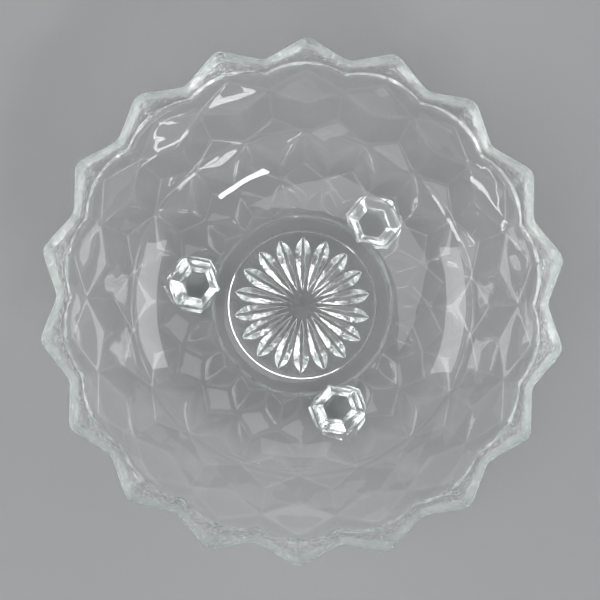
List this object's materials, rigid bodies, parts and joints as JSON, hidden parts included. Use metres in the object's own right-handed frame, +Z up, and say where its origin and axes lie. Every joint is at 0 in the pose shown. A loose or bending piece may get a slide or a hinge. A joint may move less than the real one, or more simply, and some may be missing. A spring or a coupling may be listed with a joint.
{
  "type": "footed candy dish",
  "caption": "Round pressed-glass candy dish with a wall of tumbling-block facets, a zigzag pointed rim, a rayed base and six-sided toes to stand on.",
  "frame": {"origin": "on the axis of the dish, in the plane that the toes stand on", "axes": "+Z up along the axis of the dish; +Y through a point of the rim"},
  "size_m": [0.1752, 0.1778, 0.0578],
  "materials": {
    "clear_glass": "fire-polished pressed glass, colourless with a faint grey-green cast in thick sections"
  },
  "bodies": {
    "root": {"rim": "clear_glass", "bowl": "clear_glass", "base": "clear_glass", "toe_1": "clear_glass", "toe_2": "clear_glass", "toe_3": "clear_glass"}
  },
  "joints": []
}
